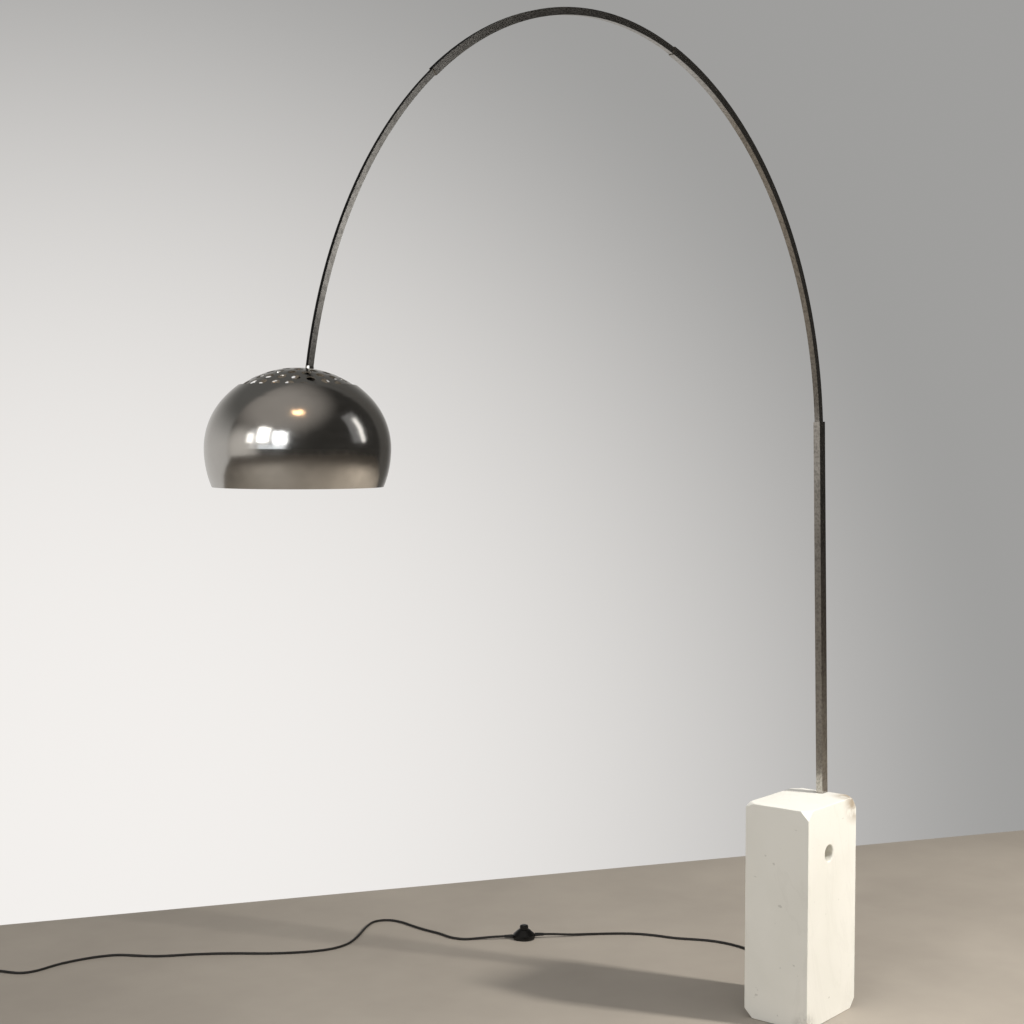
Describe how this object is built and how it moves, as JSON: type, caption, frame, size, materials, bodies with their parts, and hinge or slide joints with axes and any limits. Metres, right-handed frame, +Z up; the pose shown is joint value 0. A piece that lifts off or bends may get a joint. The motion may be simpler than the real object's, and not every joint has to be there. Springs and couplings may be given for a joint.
{
  "type": "arc floor lamp",
  "caption": "Floor lamp with a marble block, leaning column, telescoping arched arm and a hanging dome shade, with foot switch.",
  "frame": {"origin": "centre of the marble block's underside, on the floor", "axes": "+Z up; the arm reaches out along -X in the plane Y = 0; the block's lifting hole runs along Y"},
  "size_m": [2.3076, 2.1283, 2.3696],
  "materials": {
    "marble": "honed white marble with faint grey veins",
    "satin_steel": "satin, worn",
    "polished_steel": "polished",
    "black_strip": "matt",
    "plated_steel": "zinc plated",
    "brass": "plain",
    "nylon": "moulded",
    "felt": "felt",
    "black_rubber": "moulded",
    "flex": "smooth sheath",
    "black_bakelite": "moulded",
    "porcelain": "glazed",
    "bulb_metal": "plain",
    "bulb_glass": "frosted",
    "bulb_inside": "clear",
    "spring_steel": "drawn wire"
  },
  "bodies": {
    "base": {"marble_base": "marble", "column_channel": "satin_steel", "column_strip": "black_strip", "foot_insert": "plated_steel", "foot_washers": "plated_steel", "foot_bolts": "plated_steel", "foot_anchors": "brass", "mouth_grub_screws": "plated_steel", "duct_cover": "satin_steel", "duct_cover_plugs": "nylon", "duct_cover_screws": "plated_steel", "cord_gland": "black_rubber", "lower_arc": "satin_steel", "lower_strip": "black_strip", "lower_clamp_screw": "satin_steel", "root_lead": "flex", "switch_pad": "black_rubber", "switch_base": "black_bakelite", "switch_cover": "black_bakelite", "switch_spring": "spring_steel", "switch_contacts": "brass", "switch_screws": "plated_steel", "switch_inlet_relief": "black_rubber", "switch_outlet_relief": "black_rubber", "flex_base_to_switch": "flex", "flex_switch_to_coil": "flex", "cord_coil": "flex", "cord_tie": "nylon", "flex_coil_to_plug": "flex", "plug_body": "black_bakelite", "plug_relief": "black_rubber", "plug_pins": "brass"},
    "middle_section": {"middle_arc": "satin_steel", "middle_strip": "black_strip", "middle_clamp_screw": "satin_steel", "middle_lead": "flex"},
    "upper_section": {"upper_arc": "satin_steel", "upper_strip": "black_strip", "upper_lead": "flex", "stem_ferrule": "polished_steel", "stem_nipple": "plated_steel", "stem_locknut": "plated_steel", "perforated_cap": "polished_steel", "lampholder_cap": "black_bakelite", "lampholder_body": "black_bakelite", "lampholder_insert": "porcelain", "lampholder_shell": "brass", "lampholder_contact": "brass", "lampholder_terminals": "brass", "bulb_tip": "bulb_metal", "bulb_cap_insulator": "black_bakelite", "bulb_screw_cap": "bulb_metal", "bulb_glass": "bulb_glass", "bulb_filament_stem": "bulb_inside"},
    "glide": {"glide_ring": "felt"},
    "shade": {"dome": "polished_steel"},
    "button": {"switch_button": "black_bakelite"}
  },
  "joints": [
    {"name": "middle_slide", "type": "hinge", "parent": "base", "child": "middle_section", "pos_m": [-0.8406, 0, 1.4478], "axis": [0, -1, 0], "range_deg": [-25, 3]},
    {"name": "upper_slide", "type": "hinge", "parent": "middle_section", "child": "upper_section", "pos_m": [-0.8406, 0, 1.4478], "axis": [0, -1, 0], "range_deg": [-25, 3]},
    {"name": "shade_tilt", "type": "hinge", "parent": "upper_section", "child": "glide", "pos_m": [-1.77061, 0, 1.42439], "axis": [0, 1, 0], "range_deg": [-1, 19]},
    {"name": "shade_roll", "type": "hinge", "parent": "glide", "child": "shade", "pos_m": [-1.77061, 0, 1.42439], "axis": [1, 0, 0], "range_deg": [-5, 5]},
    {"name": "switch_press", "type": "slide", "parent": "base", "child": "button", "axis": [0, 0, -1], "range_m": [0, 0.003], "stiffness_N_per_m": 600, "springref_m": -0.002, "deforming": ["switch_spring"]}
  ]
}
